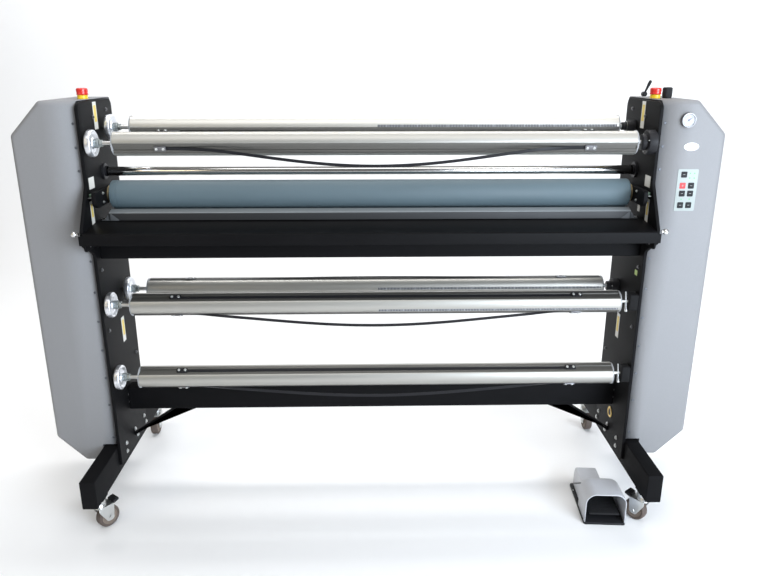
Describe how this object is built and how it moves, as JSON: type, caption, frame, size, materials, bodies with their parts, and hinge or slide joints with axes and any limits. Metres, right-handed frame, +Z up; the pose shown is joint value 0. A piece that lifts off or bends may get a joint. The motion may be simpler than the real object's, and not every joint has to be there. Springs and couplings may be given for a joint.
{
  "type": "cold roll laminator",
  "caption": "Wide-format pneumatic cold roll laminator: silver end housings on castors, rubber nip rollers, film shafts, tilting table and foot pedal.",
  "frame": {"origin": "on the floor, midway between the housings and midway along the foot bars", "axes": "+X runs across the machine to the operator's right, -Y faces the operator at the table, +Z is up"},
  "size_m": [2.2, 0.81, 1.436],
  "materials": {
    "silver_powder": "fine silver powder coat, satin",
    "black_powder": "fine black powder coat, satin",
    "roller_rubber": "ground silicone rubber, matte",
    "shaft_aluminium": "natural anodised extrusion, satin",
    "chrome": "polished plating",
    "wheel_metal": "silver painted casting",
    "black_plastic": "moulded nylon, fine grain",
    "red_plastic": "moulded, glossy",
    "yellow_plastic": "moulded, satin",
    "zinc": "bright zinc plate",
    "castor_tread": "moulded tread, matte",
    "strip_plastic": "extruded flexible strip",
    "keypad_film": "printed polyester film",
    "pedal_silver": "silver paint, satin",
    "steel": "ground steel",
    "motor_grey": "grey machine paint"
  },
  "bodies": {
    "frame": {"side_plate_left": "black_powder", "side_plate_right": "black_powder", "housing_left": "silver_powder", "housing_right": "silver_powder", "front_beam": "black_powder", "lower_beam": "black_powder", "foot_bar_left": "black_powder", "foot_bar_right": "black_powder", "stop_base_left": "yellow_plastic", "stop_base_right": "yellow_plastic", "gauge_case": "chrome", "keypad": "keypad_film", "gear_motor": "motor_grey", "pedal_base": "black_plastic", "pedal_hood": "pedal_silver", "shaft_holder_upper_front": "black_plastic", "shaft_holder_upper_rear": "black_plastic", "shaft_holder_middle_front": "black_plastic", "shaft_holder_middle_rear": "black_plastic", "shaft_holder_lower_front": "black_plastic"},
    "roller_lift": {"roller_arm_left": "black_powder", "roller_arm_right": "black_powder"},
    "upper_roller": {"upper_nip_roller": "roller_rubber"},
    "lower_roller": {"lower_nip_roller": "roller_rubber"},
    "idler": {"idler_roller": "chrome"},
    "table": {"infeed_table": "black_powder", "guide_bar": "steel"},
    "knob_left": {"table_knob_left": "zinc"},
    "knob_right": {"table_knob_right": "zinc"},
    "stop_left": {"stop_head_left": "red_plastic"},
    "stop_right": {"stop_head_right": "red_plastic"},
    "valve": {"valve_lever": "black_plastic"},
    "regulator": {"regulator_knob": "black_plastic"},
    "needle": {"gauge_needle": "black_plastic"},
    "treadle": {"pedal_treadle": "black_plastic"},
    "brake_left": {"castor_pedal_left": "black_plastic"},
    "brake_right": {"castor_pedal_right": "black_plastic"},
    "shaft_upper_front": {"film_shaft_upper_front": "shaft_aluminium", "grip_strip_upper_front": "strip_plastic"},
    "wheel_upper_front": {"tension_wheel_upper_front": "wheel_metal"},
    "shaft_upper_rear": {"film_shaft_upper_rear": "shaft_aluminium", "grip_strip_upper_rear": "strip_plastic"},
    "wheel_upper_rear": {"tension_wheel_upper_rear": "wheel_metal"},
    "shaft_middle_front": {"film_shaft_middle_front": "shaft_aluminium", "grip_strip_middle_front": "strip_plastic"},
    "wheel_middle_front": {"tension_wheel_middle_front": "wheel_metal"},
    "shaft_middle_rear": {"film_shaft_middle_rear": "shaft_aluminium", "grip_strip_middle_rear": "strip_plastic"},
    "wheel_middle_rear": {"tension_wheel_middle_rear": "wheel_metal"},
    "shaft_lower_front": {"film_shaft_lower_front": "shaft_aluminium", "grip_strip_lower_front": "strip_plastic"},
    "wheel_lower_front": {"tension_wheel_lower_front": "wheel_metal"},
    "fork_front_left": {"castor_fork_front_left": "zinc"},
    "castor_front_left": {"castor_wheel_front_left": "castor_tread"},
    "fork_rear_left": {"castor_fork_rear_left": "zinc"},
    "castor_rear_left": {"castor_wheel_rear_left": "castor_tread"},
    "fork_front_right": {"castor_fork_front_right": "zinc"},
    "castor_front_right": {"castor_wheel_front_right": "castor_tread"},
    "fork_rear_right": {"castor_fork_rear_right": "zinc"},
    "castor_rear_right": {"castor_wheel_rear_right": "castor_tread"}
  },
  "joints": [
    {"name": "nip_lift", "type": "slide", "parent": "frame", "child": "roller_lift", "axis": [0, 0, 1], "range_m": [0, 0.02]},
    {"name": "lower_roller_turn", "type": "hinge", "parent": "frame", "child": "lower_roller", "pos_m": [0, -0.0875, 0.996], "axis": [1, 0, 0], "continuous": true},
    {"name": "upper_roller_turn", "type": "hinge", "parent": "roller_lift", "child": "upper_roller", "pos_m": [0, -0.0875, 1.086], "axis": [1, 0, 0], "continuous": true},
    {"name": "idler_turn", "type": "hinge", "parent": "frame", "child": "idler", "pos_m": [0, -0.0325, 1.152], "axis": [1, 0, 0], "continuous": true},
    {"name": "shaft_turn_upper_front", "type": "hinge", "parent": "frame", "child": "shaft_upper_front", "pos_m": [0, -0.1675, 1.256], "axis": [1, 0, 0], "continuous": true},
    {"name": "tension_turn_upper_front", "type": "hinge", "parent": "shaft_upper_front", "child": "wheel_upper_front", "pos_m": [0, -0.1675, 1.256], "axis": [1, 0, 0], "continuous": true},
    {"name": "shaft_turn_upper_rear", "type": "hinge", "parent": "frame", "child": "shaft_upper_rear", "pos_m": [0, 0.0125, 1.29], "axis": [1, 0, 0], "continuous": true},
    {"name": "tension_turn_upper_rear", "type": "hinge", "parent": "shaft_upper_rear", "child": "wheel_upper_rear", "pos_m": [0, 0.0125, 1.29], "axis": [1, 0, 0], "continuous": true},
    {"name": "shaft_turn_middle_front", "type": "hinge", "parent": "frame", "child": "shaft_middle_front", "pos_m": [0, -0.1675, 0.735], "axis": [1, 0, 0], "continuous": true},
    {"name": "tension_turn_middle_front", "type": "hinge", "parent": "shaft_middle_front", "child": "wheel_middle_front", "pos_m": [0, -0.1675, 0.735], "axis": [1, 0, 0], "continuous": true},
    {"name": "shaft_turn_middle_rear", "type": "hinge", "parent": "frame", "child": "shaft_middle_rear", "pos_m": [0, 0.0175, 0.732], "axis": [1, 0, 0], "continuous": true},
    {"name": "tension_turn_middle_rear", "type": "hinge", "parent": "shaft_middle_rear", "child": "wheel_middle_rear", "pos_m": [0, 0.0175, 0.732], "axis": [1, 0, 0], "continuous": true},
    {"name": "shaft_turn_lower_front", "type": "hinge", "parent": "frame", "child": "shaft_lower_front", "pos_m": [0, -0.1675, 0.476], "axis": [1, 0, 0], "continuous": true},
    {"name": "tension_turn_lower_front", "type": "hinge", "parent": "shaft_lower_front", "child": "wheel_lower_front", "pos_m": [0, -0.1675, 0.476], "axis": [1, 0, 0], "continuous": true},
    {"name": "table_tilt", "type": "hinge", "parent": "frame", "child": "table", "pos_m": [0, -0.2275, 0.95], "axis": [1, 0, 0], "range_deg": [0, 95]},
    {"name": "knob_pull_left", "type": "slide", "parent": "table", "child": "knob_left", "axis": [-1, 0, 0], "range_m": [0, 0.008], "stiffness_N_per_m": 300, "springref_m": -0.002},
    {"name": "knob_pull_right", "type": "slide", "parent": "table", "child": "knob_right", "axis": [1, 0, 0], "range_m": [0, 0.008], "stiffness_N_per_m": 300, "springref_m": -0.002},
    {"name": "stop_press_left", "type": "slide", "parent": "frame", "child": "stop_left", "axis": [0, 0, 1], "range_m": [-0.004, 0], "stiffness_N_per_m": 500, "springref_m": 0.002},
    {"name": "stop_press_right", "type": "slide", "parent": "frame", "child": "stop_right", "axis": [0, 0, 1], "range_m": [-0.004, 0], "stiffness_N_per_m": 500, "springref_m": 0.002},
    {"name": "valve_swing", "type": "hinge", "parent": "frame", "child": "valve", "pos_m": [0.918, 0.0675, 1.391], "axis": [0, 1, 0], "range_deg": [-46, 0]},
    {"name": "regulator_turn", "type": "hinge", "parent": "frame", "child": "regulator", "pos_m": [0.951, -0.0425, 1.3993], "axis": [0, 0, 1], "range_deg": [-160, 160]},
    {"name": "needle_swing", "type": "hinge", "parent": "frame", "child": "needle", "pos_m": [0.971, -0.1816, 1.323], "axis": [0, 1, 0], "range_deg": [-185, 85]},
    {"name": "treadle_press", "type": "hinge", "parent": "frame", "child": "treadle", "pos_m": [0.7876, -0.24677, 0.042], "axis": [0.9976, -0.0698, 0], "range_deg": [0, 11], "stiffness_Nm_per_rad": 2, "springref_deg": -5.73},
    {"name": "swivel_front_left", "type": "hinge", "parent": "frame", "child": "fork_front_left", "pos_m": [-0.9123, -0.335, 0.1], "axis": [0, 0, 1], "continuous": true},
    {"name": "roll_front_left", "type": "hinge", "parent": "fork_front_left", "child": "castor_front_left", "pos_m": [-0.89691, -0.3153, 0.0375], "axis": [0.788, -0.6157, 0], "continuous": true},
    {"name": "brake_press_left", "type": "hinge", "parent": "fork_front_left", "child": "brake_left", "pos_m": [-0.88675, -0.3023, 0.084], "axis": [-0.788, 0.6157, 0], "range_deg": [0, 12]},
    {"name": "swivel_rear_left", "type": "hinge", "parent": "frame", "child": "fork_rear_left", "pos_m": [-0.9123, 0.335, 0.1], "axis": [0, 0, 1], "continuous": true},
    {"name": "roll_rear_left", "type": "hinge", "parent": "fork_rear_left", "child": "castor_rear_left", "pos_m": [-0.9123, 0.31, 0.0375], "axis": [-1, 0, 0], "continuous": true},
    {"name": "swivel_front_right", "type": "hinge", "parent": "frame", "child": "fork_front_right", "pos_m": [0.9123, -0.335, 0.1], "axis": [0, 0, 1], "continuous": true},
    {"name": "roll_front_right", "type": "hinge", "parent": "fork_front_right", "child": "castor_front_right", "pos_m": [0.89691, -0.3153, 0.0375], "axis": [0.788, 0.6157, 0], "continuous": true},
    {"name": "brake_press_right", "type": "hinge", "parent": "fork_front_right", "child": "brake_right", "pos_m": [0.88675, -0.3023, 0.084], "axis": [-0.788, -0.6157, 0], "range_deg": [0, 12]},
    {"name": "swivel_rear_right", "type": "hinge", "parent": "frame", "child": "fork_rear_right", "pos_m": [0.9123, 0.335, 0.1], "axis": [0, 0, 1], "continuous": true},
    {"name": "roll_rear_right", "type": "hinge", "parent": "fork_rear_right", "child": "castor_rear_right", "pos_m": [0.9123, 0.31, 0.0375], "axis": [-1, 0, 0], "continuous": true}
  ],
  "couplings": [
    {"joint": "upper_roller_turn", "follows": "lower_roller_turn", "ratio": -1}
  ]
}
